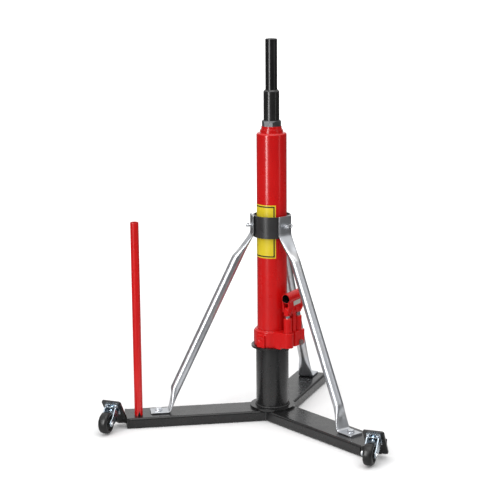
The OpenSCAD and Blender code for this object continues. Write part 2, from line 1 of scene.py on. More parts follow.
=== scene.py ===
"""Looks of the tripod transmission jack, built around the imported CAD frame. Metres, Z up."""
import json
import math

import bmesh
import bpy
from mathutils import Matrix, Vector


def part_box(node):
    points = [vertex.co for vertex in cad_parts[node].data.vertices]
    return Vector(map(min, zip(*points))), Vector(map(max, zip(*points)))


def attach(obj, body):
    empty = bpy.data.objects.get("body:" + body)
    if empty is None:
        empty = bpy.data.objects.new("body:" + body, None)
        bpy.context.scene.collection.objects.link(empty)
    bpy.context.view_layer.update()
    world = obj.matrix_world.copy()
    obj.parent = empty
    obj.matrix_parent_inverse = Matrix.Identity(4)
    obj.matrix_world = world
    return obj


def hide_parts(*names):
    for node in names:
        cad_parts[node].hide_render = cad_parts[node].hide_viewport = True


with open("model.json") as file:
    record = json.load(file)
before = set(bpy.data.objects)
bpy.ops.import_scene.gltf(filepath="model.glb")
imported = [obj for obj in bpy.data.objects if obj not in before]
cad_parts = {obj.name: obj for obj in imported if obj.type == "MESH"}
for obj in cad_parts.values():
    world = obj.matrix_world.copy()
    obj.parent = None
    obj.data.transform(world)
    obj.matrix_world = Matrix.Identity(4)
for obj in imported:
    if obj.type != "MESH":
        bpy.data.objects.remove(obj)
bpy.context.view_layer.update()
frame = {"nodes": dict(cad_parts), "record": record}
NODES = frame["nodes"]
JOINTS = {j["name"]: j for j in frame["record"]["behaviour"]["joints"]}
MM = 0.001


# ---- Node material helper ----

class Graph:
    """A node material under construction. Values may be numbers, colours or sockets."""

    def __init__(self, name):
        self.mat = bpy.data.materials.new(name)
        self.mat.use_nodes = True
        self.tree = self.mat.node_tree
        self.tree.nodes.clear()
        self.coord = self.node("ShaderNodeTexCoord").outputs["Object"]

    def node(self, kind, inputs=None, **props):
        made = self.tree.nodes.new(kind)
        for key, value in props.items():
            setattr(made, key, value)
        for key, value in (inputs or {}).items():
            self.put(made.inputs[key], value)
        return made

    def put(self, socket, value):
        if isinstance(value, bpy.types.NodeSocket):
            self.tree.links.new(value, socket)
        elif socket.type == "RGBA" and len(value) == 3:
            socket.default_value = (*value, 1.0)
        else:
            socket.default_value = value

    def math(self, op, a, b=0.0):
        return self.node("ShaderNodeMath", {0: a, 1: b}, operation=op).outputs[0]

    def vector(self, op, a, b=(0, 0, 0)):
        return self.node("ShaderNodeVectorMath", {0: a, 1: b}, operation=op)

    def stretched(self, scale):
        return self.node("ShaderNodeMapping", {"Vector": self.coord, "Scale": scale}).outputs[0]

    def noise(self, scale, detail=3.0, rough=0.5, coord=None):
        ins = {"Vector": coord or self.coord, "Scale": scale, "Detail": detail, "Roughness": rough}
        return self.node("ShaderNodeTexNoise", ins).outputs["Fac"]

    def remap(self, fac, lo, hi, a=0.0, b=1.0):
        ins = {"Value": fac, "From Min": lo, "From Max": hi, "To Min": a, "To Max": b}
        return self.node("ShaderNodeMapRange", ins, clamp=True).outputs["Result"]

    def mix(self, fac, a, b):
        made = self.node("ShaderNodeMix", data_type="RGBA")
        self.put(made.inputs[0], fac)
        self.put(made.inputs[6], a)
        self.put(made.inputs[7], b)
        return made.outputs[2]

    def bevel(self, radius):
        """Rounded-edge normal, and a mask that is 1 on worn edges."""
        rounded = self.node("ShaderNodeBevel", {"Radius": radius}, samples=4).outputs[0]
        plain = self.node("ShaderNodeNewGeometry").outputs["Normal"]
        dot = self.vector("DOT_PRODUCT", rounded, plain).outputs["Value"]
        return rounded, self.remap(dot, 0.995, 0.8)

    def bump(self, height, strength, distance, normal=None):
        ins = {"Height": height, "Strength": strength, "Distance": distance}
        if normal is not None:
            ins["Normal"] = normal
        return self.node("ShaderNodeBump", ins).outputs[0]

    def surface(self, **values):
        shader = self.node("ShaderNodeBsdfPrincipled")
        for key, value in values.items():
            self.put(shader.inputs[key.replace("_", " ")], value)
        out = self.node("ShaderNodeOutputMaterial")
        self.tree.links.new(shader.outputs[0], out.inputs["Surface"])
        return self.mat


def grey(v):
    return (v, v, v)


def red_paint(name, cast=False, bore=None):
    """bore is (point, axis, radius) of a hole whose inside is painted near-black, as painted shade."""
    g = Graph(name)
    tone = g.mix(g.remap(g.noise(9, 2), 0.3, 0.7), (0.57, 0.0042, 0.0048), (0.64, 0.0062, 0.0062))
    rounded, edge = g.bevel(1.4 * MM if cast else 0.7 * MM)
    chips = g.math("MULTIPLY", edge, g.remap(g.noise(420, 4, 0.7), 0.60, 0.68))
    thin = g.mix(g.math("MULTIPLY", edge, 0.35), tone, (0.30, 0.006, 0.008))
    colour = g.mix(g.math("MULTIPLY", chips, 0.55), thin, (0.11, 0.10, 0.10))
    if bore:
        point, axis, radius = bore
        offset = g.vector("SUBTRACT", g.coord, point).outputs[0]
        across = g.vector("CROSS_PRODUCT", offset, axis).outputs[0]
        away = g.vector("LENGTH", across).outputs["Value"]
        # painted shade: everything within the bore's radius is painted near-black
        colour = g.mix(g.remap(away, radius, radius * 1.04, 1.0, 0.0), colour, (0.020, 0.012, 0.011))
    skin = g.bump(g.noise(330 if cast else 40, 2, 0.4), 0.05 if cast else 0.006, 0.3 * MM, rounded)
    if cast:
        skin = g.bump(g.noise(80, 4, 0.6), 0.16, 0.9 * MM, skin)
    smudge = g.remap(g.noise(22, 4, 0.6), 0.35, 0.75, 0.26, 0.36)
    return g.surface(Base_Color=colour, Roughness=smudge, Normal=skin,
                     Coat_Weight=0.35 if cast else 0.55,
                     Coat_Roughness=g.remap(g.noise(60, 3), 0.3, 0.7, 0.06, 0.12),
                     Coat_Normal=skin, Specular_IOR_Level=0.15 if cast else 0.22)


def black_paint(name, level=0.008, rough=0.27, radius=0.9 * MM):
    g = Graph(name)
    bluish = (level * 1.3, level * 1.3, level * 1.38)
    tone = g.mix(g.remap(g.noise(14, 3), 0.3, 0.7), grey(level * 0.8), bluish)
    rounded, edge = g.bevel(radius)
    rub = g.math("MULTIPLY", edge, g.remap(g.noise(160, 4, 0.65), 0.40, 0.65))
    colour = g.mix(g.math("MULTIPLY", rub, 0.35), tone, grey(0.20))
    dust = g.remap(g.noise(45, 5, 0.7), 0.55, 0.82, 0.0, 0.025)
    colour = g.mix(dust, colour, (0.16, 0.155, 0.145))
    grain = g.bump(g.noise(90, 2), 0.008, 0.3 * MM, rounded)
    return g.surface(Base_Color=colour, Normal=grain,
                     Roughness=g.remap(g.noise(40, 3), 0.3, 0.7, rough - 0.03, rough + 0.05),
                     Specular_IOR_Level=0.40, Coat_Weight=0.15, Coat_Roughness=0.18)


def zinc(name, tint=(0.70, 0.72, 0.75), warm=(0.74, 0.70, 0.62), rough=0.24, tube=False):
    """Bright plating with faint spangle, warm passivation and dull stains; tubes have no worn edges."""
    g = Graph(name)
    cool = g.mix(g.remap(g.noise(26, 3), 0.35, 0.65), tint, [c * 0.90 for c in tint])
    spangle = g.node("ShaderNodeTexVoronoi", {"Vector": g.coord, "Scale": 170.0}).outputs["Color"]
    flake = g.node("ShaderNodeSeparateColor", {0: spangle}).outputs[0]
    colour = g.mix(g.remap(g.noise(13, 4, 0.6), 0.52, 0.72, 0.0, 0.45), cool, warm)
    colour = g.mix(g.math("MULTIPLY", flake, 0.08), colour, grey(0.42))
    stain = g.remap(g.noise(48, 6, 0.7), 0.60, 0.74, 0.0, 0.25)
    colour = g.mix(stain, colour, (0.40, 0.39, 0.37))
    skin = g.bump(g.noise(28, 2, 0.4), 0.006 if tube else 0.03, 0.4 * MM)
    if not tube:
        rounded, edge = g.bevel(0.5 * MM)
        colour = g.mix(g.math("MULTIPLY", edge, 0.4), colour, grey(0.86))
        skin = g.bump(g.noise(110, 3, 0.5), 0.04, 0.15 * MM, rounded)
    return g.surface(Base_Color=colour, Metallic=1.0, Normal=skin,
                     Roughness=g.remap(g.noise(60, 4, 0.6), 0.3, 0.75, rough - 0.05, rough + 0.08))


def steel(name, colour=(0.42, 0.42, 0.43), rough=0.34, metal=1.0):
    g = Graph(name)
    tone = g.mix(g.remap(g.noise(60, 4, 0.6), 0.35, 0.7), colour, [c * 0.72 for c in colour])
    rounded, edge = g.bevel(0.4 * MM)
    tone = g.mix(g.math("MULTIPLY", edge, 0.5), tone, [min(1, c * 1.7) for c in colour])
    turned = g.noise(160, 3, 0.5, g.stretched((0.6, 0.6, 9)))
    return g.surface(Base_Color=tone, Metallic=metal, Normal=g.bump(turned, 0.12, 0.2 * MM, rounded),
                     Roughness=g.remap(turned, 0.3, 0.7, rough - 0.06, rough + 0.08))


def ram_finish(name, level):
    """Blackened ground bar: fine rings round the bar, thin oil film."""
    g = Graph(name)
    rings = g.noise(900, 2, 0.5, g.stretched((0.05, 0.05, 1)))
    film = g.noise(35, 4, 0.6, g.stretched((1, 1, 0.25)))
    tone = g.mix(g.remap(film, 0.35, 0.7), grey(level), (level * 1.7, level * 1.7, level * 1.8))
    rounded, edge = g.bevel(0.6 * MM)
    tone = g.mix(g.math("MULTIPLY", edge, 0.6), tone, grey(0.42))
    return g.surface(Base_Color=tone, Metallic=0.55, Normal=g.bump(rings, 0.03, 0.1 * MM, rounded),
                     Roughness=g.remap(film, 0.3, 0.7, 0.24, 0.36), Coat_Weight=0.35,
                     Coat_Roughness=0.12)


def rubber(name, level=0.014, rough=0.62):
    g = Graph(name)
    tone = g.mix(g.remap(g.noise(55, 4, 0.6), 0.35, 0.7), grey(level), grey(level * 1.8))
    rounded, edge = g.bevel(0.6 * MM)
    tone = g.mix(g.math("MULTIPLY", edge, 0.3), tone, grey(level * 4))
    return g.surface(Base_Color=tone, Normal=g.bump(g.noise(700, 3), 0.12, 0.2 * MM, rounded),
                     Roughness=g.remap(g.noise(120, 4), 0.3, 0.7, rough - 0.08, rough + 0.1))


def wheel_finish(name):
    """Hard rubber: glossier side, tread dulled by the floor with a little dust."""
    g = Graph(name)
    tone = g.mix(g.remap(g.noise(70, 4, 0.6), 0.3, 0.7), grey(0.006), grey(0.011))
    dust = g.remap(g.noise(130, 6, 0.75), 0.58, 0.8, 0.0, 0.10)
    tone = g.mix(dust, tone, (0.12, 0.115, 0.105))
    rounded, edge = g.bevel(0.8 * MM)
    skin = g.bump(g.noise(520, 3), 0.10, 0.25 * MM, rounded)
    return g.surface(Base_Color=tone, Normal=skin, Roughness=g.remap(dust, 0.0, 0.10, 0.30, 0.50),
                     Specular_IOR_Level=0.4)


def label_finish(name):
    """Plain yellow film with a black keyline; nothing is printed on it."""
    g = Graph(name)
    at = g.node("ShaderNodeSeparateXYZ", {0: g.coord}).outputs
    lo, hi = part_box("label_panel")
    reach = max(-lo[0], hi[0])
    turn = g.math("ARCTAN2", g.math("MULTIPLY", at[0], -1.0), g.math("MULTIPLY", at[1], -1.0))
    along = g.math("MULTIPLY", turn, reach)
    near = g.math("MINIMUM", g.math("ADD", along, math.radians(35) * reach),
                  g.math("SUBTRACT", math.radians(85) * reach, along))
    tall = g.math("MINIMUM", g.math("SUBTRACT", at[2], lo[2]), g.math("SUBTRACT", hi[2], at[2]))
    inset = g.math("MINIMUM", near, tall)
    line = g.math("MULTIPLY", g.math("GREATER_THAN", inset, 0.0030), g.math("LESS_THAN", inset, 0.0064))
    yellow = g.mix(g.remap(g.noise(30, 3), 0.3, 0.7), (0.78, 0.60, 0.022), (0.84, 0.67, 0.040))
    fade = g.remap(g.noise(260, 5, 0.7), 0.60, 0.78, 0.0, 0.22)
    colour = g.mix(line, g.mix(fade, yellow, (0.70, 0.60, 0.28)), grey(0.02))
    return g.surface(Base_Color=colour, Roughness=g.remap(g.noise(90, 3), 0.3, 0.7, 0.26, 0.40),
                     Normal=g.bump(g.noise(120, 2), 0.05, 0.3 * MM), Specular_IOR_Level=0.25)


def plain_plate(name):
    """Small blank plate, pale and slightly scuffed."""
    g = Graph(name)
    tone = g.mix(g.remap(g.noise(420, 4, 0.6), 0.35, 0.7), (0.50, 0.50, 0.45), (0.62, 0.62, 0.57))
    return g.surface(Base_Color=tone, Metallic=0.2, Normal=g.bump(g.noise(300, 2), 0.04, 0.2 * MM),
                     Roughness=g.remap(g.noise(200, 3), 0.3, 0.7, 0.35, 0.5))


def floor_finish(name):
    """Pale floor. It stays white to the camera far out, and goes dark to reflections away from the object."""
    g = Graph(name)
    tone = g.mix(g.noise(3, 2), grey(0.86), grey(0.875))
    far = g.vector("LENGTH", g.coord).outputs["Value"]
    rays = g.node("ShaderNodeLightPath").outputs
    camera_ray = rays["Is Camera Ray"]
    unseen = g.math("SUBTRACT", 1.0, camera_ray)
    tone = g.mix(g.math("MULTIPLY", unseen, g.remap(far, 0.75, 1.9)), tone, grey(0.10))
    tone = g.mix(g.math("MULTIPLY", rays["Is Glossy Ray"], g.remap(far, 0.25, 0.9)), tone, grey(0.08))
    glow = g.math("MULTIPLY", camera_ray, g.remap(far, 0.5, 3.0, 0.06, 0.62))
    return g.surface(Base_Color=tone, Roughness=0.7, Specular_IOR_Level=0.1, Emission_Color=grey(1.0),
                     Emission_Strength=glow, Normal=g.bump(g.noise(400, 2), 0.02, 0.2 * MM))


MAT = {
    "black_paint": black_paint("black satin paint"),
    "red_paint": red_paint("red gloss paint"),
    "zinc_plate": zinc("zinc plate"),
    "machined_steel": steel("machined steel"),
    "dark_steel": steel("dark oxidised steel", (0.115, 0.12, 0.125), 0.42, 0.8),
    "dark_ram": ram_finish("blackened inner ram", 0.012),
    "bronze": steel("bearing bronze", (0.42, 0.27, 0.09), 0.4),
    "black_rubber": rubber("moulded rubber"),
    "black_plastic": rubber("moulded plastic", 0.018, 0.45),
    "wheel_polymer": wheel_finish("hard rubber wheel"),
    "label_film": label_finish("plain label film"),
}
RED_CAST = red_paint("red painted casting", cast=True)
RAM_OUTER = ram_finish("blackened outer ram", 0.022)
STRUT_ZINC = zinc("zinc plated tube", (0.58, 0.60, 0.63), (0.60, 0.57, 0.52), 0.34, tube=True)
CASTER_ZINC = zinc("blue zinc plate", (0.55, 0.64, 0.72), (0.70, 0.72, 0.74), 0.24)
COLLAR_BLACK = black_paint("collar satin paint", 0.034, 0.30)
COLUMN_BLACK = black_paint("column satin paint", 0.013, 0.27)
VALVE_GREY = steel("dull valve screw", (0.27, 0.20, 0.19), 0.5, 0.5)
WELD_BLACK = black_paint("painted weld", 0.018, 0.45, 0.3 * MM)

SOCKET = {m["name"]: m for m in frame["record"]["mounts"]}["handle_socket"]
# its bore is painted near-black, as painted shade
SOCKET_RED = red_paint("red paint, dark bore", cast=True,
                       bore=(SOCKET["pos_m"], SOCKET["axis"], SOCKET["dims"]["r_mm"] * MM * 1.01))
SLOT_OF = {s["node"]: s["material_slot"] for s in frame["record"]["subparts"]}
SPECIAL = {
    "outer_ram": RAM_OUTER,
    "column_tube": COLUMN_BLACK,
    "collar_band": COLLAR_BLACK,
    "pump_cylinder_front": RED_CAST,
    "pump_cylinder_rear": RED_CAST,
    "plunger_pins": RED_CAST,
    "pin_clips": RED_CAST,
    "fulcrum_pin": RED_CAST,
    "handle_socket": SOCKET_RED,
    "flange_bolts": MAT["black_paint"],
    "release_valve": VALVE_GREY,
    "caster_plate_left": CASTER_ZINC,
    "caster_plate_right": CASTER_ZINC,
}
for node_name, node in NODES.items():
    finish = SPECIAL.get(node_name, MAT[SLOT_OF[node_name]])
    node.data.materials.clear()
    node.data.materials.append(finish)


# ---- Mesh helpers ----

def piece(name, parts, body, material, sharp=40.0):
    """One object from a list of (vertices, faces). Faces steeper than sharp degrees keep their edge."""
    verts, faces = [], []
    for v, f in parts:
        base = len(verts)
        verts += [tuple(p) for p in v]
        faces += [tuple(i + base for i in face) for face in f]
    mesh = bpy.data.meshes.new(name)
    mesh.from_pydata(verts, [], faces)
    work = bmesh.new()
    work.from_mesh(mesh)
    bmesh.ops.recalc_face_normals(work, faces=work.faces)
    work.to_mesh(mesh)
    work.free()
    mesh.shade_smooth()
    mesh.set_sharp_from_angle(angle=math.radians(sharp))
    made = bpy.data.objects.new(name, mesh)
    bpy.context.scene.collection.objects.link(made)
    mesh.materials.append(material)
    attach(made, body)
    return made


def loft(rings):
    """Closed skin over rings of equally many points, capped at both ends."""
    n = len(rings[0])
    verts = [p for ring in rings for p in ring]
    faces = []
    for i in range(len(rings) - 1):
        for j in range(n):
            a, b = i * n + j, i * n + (j + 1) % n
            faces.append((a, b, b + n, a + n))
    last = (len(rings) - 1) * n
    faces.append(tuple(reversed(range(n))))
    faces.append(tuple(range(last, last + n)))
    return verts, faces


def millimetres(pairs):
    return [(a * MM, b * MM) for a, b in pairs]


def lathe(profile, place, segments=64):
    """Closed surface of revolution about local Z, from (radius, height) pairs."""
    turns = [2 * math.pi * k / segments for k in range(segments)]
    return loft([[place @ Vector((r * math.cos(a), r * math.sin(a), h)) for a in turns] for r, h in profile])


def sweep(points, radius, sides=14):
    """Round wire or bead along a path. radius is a number or a function of the distance along it."""
    turns = [2 * math.pi * k / sides for k in range(sides)]
    rings, total = [], 0.0
    normal = None
    for i, p in enumerate(points):
        before, after = points[max(i - 1, 0)], points[min(i + 1, len(points) - 1)]
        tangent = (after - before).normalized()
        if normal is None:
            normal = tangent.orthogonal().normalized()
        normal = (normal - tangent * normal.dot(tangent)).normalized()
        side = tangent.cross(normal)
        if i:
            total += (p - points[i - 1]).length
        r = radius(total) if callable(radius) else radius
        rings.append([p + (normal * math.cos(a) + side * math.sin(a)) * r for a in turns])
    return loft(rings)


def bead(points, size, pitch=3.2 * MM):
    """Weld bead with overlapping ripples, slightly uneven along its length."""
    def ripple(s):
        return size * (0.84 + 0.22 * abs(math.sin(math.pi * s / pitch)) + 0.05 * math.sin(s * 911))
    return sweep(points, ripple, 10)


def circle(radius, height, steps=240):
    turns = [math.radians(360.0 * k / steps) for k in range(steps + 1)]
    return [Vector((radius * math.cos(a), radius * math.sin(a), height)) for a in turns]


def at_azimuth(azimuth):
    """Local +Y points along the azimuth, which is clockwise from +Y seen from above."""
    return Matrix.Rotation(-math.radians(azimuth), 4, "Z")


def pose_on(origin, axis, x_hint=(1, 0, 0)):
    """Local Z along axis, at origin."""
    z = Vector(axis).normalized()
    x = Vector(x_hint)
    x = (x - z * x.dot(z)).normalized()
    y = z.cross(x)
    return Matrix(((x.x, y.x, z.x, origin[0]),
                   (x.y, y.y, z.y, origin[1]),
                   (x.z, y.z, z.z, origin[2]),
                   (0, 0, 0, 1)))


def hex_head(flats, height, place, turn=0.0, segments=72):
    """Chamfered hexagon head standing on local Z = 0."""
    half = flats / 2
    rings = [[], [], [], [], []]
    for k in range(segments):
        a = 2 * math.pi * k / segments
        r = half / math.cos((a + math.pi / 6) % (math.pi / 3) - math.pi / 6)
        c, s = math.cos(a + turn), math.sin(a + turn)
        shoulder = height - (r - 0.93 * half) * math.tan(math.radians(28))
        for i, (rr, h) in enumerate(((r, 0), (r, shoulder), (0.93 * half, height), (0.80 * half, height),
                                     (0.74 * half, height - 0.35 * MM))):
            rings[i].append(place @ Vector((rr * c, rr * s, h)))
    return loft(rings)


def washer(r_out, r_in, thick, place):
    e = 0.25 * thick
    ring = [(r_in, 0), (r_out - e, 0), (r_out, e), (r_out, thick - e), (r_out - e, thick), (r_in, thick)]
    return lathe(ring, place, 48)


def thread(radius, start, end, place, pitch=1.25 * MM):
    """Round shank with thread grooves and a chamfered tip."""
    steps = max(2, int((end - start) / pitch * 2))
    profile = [(radius - 0.5 * MM, start)]
    for k in range(1, steps):
        h = start + (end - start) * k / steps
        profile.append((radius - (0.45 * MM if k % 2 else 0), h))
    profile.append((radius - 0.9 * MM, end))
    return lathe(profile, place, 28)


# ---- Struts: drawn tube with both ends pressed flat ----

LEG_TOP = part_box("rear_leg")[1][2]
STRUT_R = 13.45 * MM
TAB_HALF = 21.0 * MM
TAB_THICK = 2.5 * MM  # half the thickness of the pressed tab
PRESS_OFFSET = 9.0 * MM  # how far the round tube's centre lies outside the pressed tabs
TOP_OUT = 52.7 * MM
KNEE_DROP = 50 * MM
HEEL_OUT = 281 * MM
TOE_OUT = 329.8 * MM
BOLT_OUT = 308 * MM
UPPER_FLAT, UPPER_PRESS = 52 * MM, 76 * MM
LOWER_ROUND, LOWER_PRESS = 112 * MM, 58 * MM


def strut_path():
    """Centre line of the pressed tabs, from the collar down to the foot, along local +Y."""
    top = Vector((0, TOP_OUT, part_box("strut_rear")[1][2] - 0.3 * MM))
    knee = Vector((0, TOP_OUT, top.z - KNEE_DROP))
    heel = Vector((0, HEEL_OUT, LEG_TOP + TAB_THICK))
    toe = Vector((0, TOE_OUT, LEG_TOP + TAB_THICK))

    def rounded(a, b, c, radius, steps):
        d1, d2 = (b - a).normalized(), (c - b).normalized()
        turn = d1.angle(d2)
        back = radius * math.tan(turn / 2)
        start, end = b - d1 * back, b + d2 * back
        out = []
        for k in range(steps + 1):
            t = k / steps
            # quadratic blend, close to an arc for these angles
            out.append(start * (1 - t) ** 2 + b * 2 * t * (1 - t) + end * t * t)
        return out

    line = [top] + rounded(top, knee, heel, 30 * MM, 10) + rounded(knee, heel, toe, 9 * MM, 10) + [toe]
    dense = []
    for a, b in zip(line, line[1:]):
        n = max(1, int((b - a).length / (2.0 * MM)))
        dense += [a.lerp(b, k / n) for k in range(n)]
    return dense + [toe]


def strut_section(flat, count=64):
    """flat is 0 for the round tube and 1 for the pressed tab; (across, through) pairs."""
    half_x = STRUT_R + (TAB_HALF - STRUT_R) * flat
    half_y = STRUT_R + (TAB_THICK - STRUT_R) * flat
    power = 1 - 0.64 * flat * flat
    out = []
    for k in range(count):
        a = 2 * math.pi * k / count
        c, s = math.cos(a), math.sin(a)
        x = half_x * math.copysign(abs(c) ** power, c)
        y = half_y * math.copysign(abs(s) ** power, s)
        # the press pushes the outer wall in between two rolled sides
        if y > 0:
            dish = 0.5 * math.sin(math.pi * flat) ** 2
            y *= 1 - dish * max(0, 1 - (x / (0.8 * half_x)) ** 2)
        out.append((x, y + PRESS_OFFSET * (1 - flat)))
    return out


def smooth(t):
    t = max(0.0, min(1.0, t))
    return t * t * (3 - 2 * t)


def ease(t):
    """Between a straight ramp and a smooth one."""
    t = max(0.0, min(1.0, t))
    return 0.45 * t + 0.55 * smooth(t)


def strut(name, azimuth, node):
    line = strut_path()
    lengths = [0.0]
    for a, b in zip(line, line[1:]):
        lengths.append(lengths[-1] + (b - a).length)
    total = lengths[-1]
    rings = []
    turn = at_azimuth(azimuth)
    for i, p in enumerate(line):
        s = lengths[i]
        flat = max(1 - ease((s - UPPER_FLAT) / UPPER_PRESS), ease((s - (total - LOWER_ROUND)) / LOWER_PRESS))
        end = min(s, total - s)
        trim = 1 - 0.05 * (1 - smooth(end / (2.5 * MM)))
        tangent = (line[min(i + 1, len(line) - 1)] - line[max(i - 1, 0)]).normalized()
        across, through = Vector((1, 0, 0)), Vector((1, 0, 0)).cross(tangent)
        rings.append([turn @ (p + across * x * trim + through * y * trim) for x, y in strut_section(flat)])
    made = piece(name, [loft(rings)], "frame", STRUT_ZINC, 50)
    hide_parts(node)


strut("strut_tube_left", 240, "strut_left")
strut("strut_tube_right", 120, "strut_right")
strut("strut_tube_rear", 0, "strut_rear")

# ---- Bolts through the strut feet ----

parts = []
for azimuth in (0, 120, 240):
    base = at_azimuth(azimuth) @ Matrix.Translation((0, BOLT_OUT, LEG_TOP + 2 * TAB_THICK))
    parts.append(washer(10 * MM, 5 * MM, 1.4 * MM, base))
    on_washer = base @ Matrix.Translation((0, 0, 1.4 * MM))
    parts.append(hex_head(16 * MM, 5.1 * MM, on_washer, 0.3 + azimuth))
    parts.append(thread(5 * MM, -16 * MM, 1 * MM, base))
made = piece("foot_bolt_set", parts, "frame", MAT["zinc_plate"], 25)
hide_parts("foot_bolts")

# ---- Studs and wire clips at the collar ----

STUD_Z = (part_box("collar_studs")[0][2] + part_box("collar_studs")[1][2]) / 2
parts, wires = [], []
for azimuth in (0, 120, 240):
    base = at_azimuth(azimuth) @ Matrix.Translation((0, 0, STUD_Z)) @ Matrix.Rotation(-math.pi / 2, 4, "X")
    stud = millimetres([(2, 47), (3.9, 47.4), (3.9, 67.6), (3.4, 68.5), (2.0, 68.9), (0.5, 68.9)])
    parts.append(lathe(stud, base, 40))
    parts.append(washer(7.2 * MM, 3.9 * MM, 1.3 * MM, base @ Matrix.Translation((0, 0, 55.4 * MM))))
    loop = [(-12.6 + 3.6 * math.cos(math.radians(d)), 3.1 + 3.6 * math.sin(math.radians(d)))
            for d in range(-60, -301, -15)]
    bow = [(-8.6, 6.3), (-6, 6.2), (-3.5, 5.8), (-1, 5.9), (1.5, 6.0), (4, 5.2), (6.5, 3.3),
           (8.5, 2.9), (10.5, 4.2)]
    flat = [(10.8, 0), (5, 0), (0, 0), (-5, 0), (-9, 0)] + loop + bow
    place = at_azimuth(azimuth) @ Matrix.Translation((0, 63 * MM, STUD_Z))
    wires.append(sweep([place @ Vector((x * MM, 0, z * MM)) for x, z in flat], 1.3 * MM, 12))
made = piece("collar_stud_set", parts, "frame", MAT["zinc_plate"], 30)
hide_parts("collar_studs")
made = piece("wire_clips", wires, "frame", MAT["zinc_plate"], 60)
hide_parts("hairpin_clips")

# ---- Weld beads on the base and column ----

COLUMN_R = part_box("column_tube")[1][0]
beads = [bead(circle(COLUMN_R + 0.6 * MM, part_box("column_foot_flange")[1][2] + 0.8 * MM), 2.4 * MM),
         bead(circle(COLUMN_R + 0.5 * MM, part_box("column_top_flange")[0][2] - 0.6 * MM), 1.9 * MM)]
for azimuth in (60, 180, 300):
    turn = at_azimuth(azimuth)
    beads.append(bead([turn @ Vector((0, 51.2 * MM, (3 + k * 0.5) * MM)) for k in range(45)], 2.3 * MM))
piece("base_welds", beads, "frame", WELD_BLACK, 60)


# ---- Castings: rounded and softened copies of the CAD solids ----

def softened(node, voxel, passes, material, body):
    """Stands in for a CAD node with a remeshed and relaxed copy of it."""
    source = NODES[node]
    made = bpy.data.objects.new(node + "_cast", source.data.copy())
    bpy.context.scene.collection.objects.link(made)
    remesh = made.modifiers.new("remesh", "REMESH")
    remesh.mode = "VOXEL"
    remesh.voxel_size = voxel
    relax = made.modifiers.new("relax", "SMOOTH")
    relax.factor, relax.iterations = 0.5, passes
    graph = bpy.context.evaluated_depsgraph_get()
    mesh = bpy.data.meshes.new_from_object(made.evaluated_get(graph))
    made.modifiers.clear()
    made.data = mesh
    mesh.shade_smooth()
    mesh.materials.clear()
    mesh.materials.append(material)
    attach(made, body)
    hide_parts(node)


softened("jack_base", 0.9 * MM, 7, RED_CAST, "frame")
softened("fulcrum_post", 0.6 * MM, 5, RED_CAST, "frame")
softened("plunger_head_front", 0.45 * MM, 4, RED_CAST, "front_plunger")
softened("plunger_head_rear", 0.45 * MM, 4, RED_CAST, "rear_plunger")

# ---- Welds of the handle socket, with its small blank plate ----

ROCK = JOINTS["pump_rocker"]
PUMP_AZ = math.degrees(math.atan2(ROCK["axis"][0], ROCK["axis"][1]))
REST_TILT = math.radians(4)
rocker = Matrix.Translation(ROCK["pos_m"]) @ at_azimuth(PUMP_AZ) @ Matrix.Rotation(REST_TILT, 4, "Y")
seams = []
for side in (-1, 1):
    seam = [rocker @ Vector(((-33 + k * 0.5) * MM, side * 11.2 * MM, 24.4 * MM)) for k in range(122)]
    seams.append(bead(seam, 1.5 * MM, 2.6 * MM))
piece("socket_welds", seams, "rocker", MAT["red_paint"], 60)


def rounded_plate(x0, x1, z0, z1, y0, y1, radius, place):
    """Thin plate in the local XZ plane with rounded corners."""
    outline = []
    for cx, cz, start in ((x1, z1, 0), (x0, z1, 90), (x0, z0, 180), (x1, z0, 270)):
        ix = cx - math.copysign(radius, cx - (x0 + x1) / 2)
        iz = cz - math.copysign(radius, cz - (z0 + z1) / 2)
        for k in range(7):
            a = math.radians(start + 15 * k)
            outline.append((ix + radius * math.cos(a), iz + radius * math.sin(a)))
    return loft([[place @ Vector((x * MM, y * MM, z * MM)) for x, z in outline] for y in (y0, y1)])


piece("socket_plate", [rounded_plate(-21, 10, 10.5, 22.5, 11.05, 11.5, 1.2, rocker)], "rocker",
      plain_plate("blank light plate"), 30)

# ---- Casters ----

SIDEWAYS = Vector((1, 0, 0))
CHEEK_OUT = 16.2
BOSS_END = 17.3 * MM
PLATE_BOLT = 12.5 * MM


def raised(place, height):
    return place @ Matrix.Translation((0, 0, height))


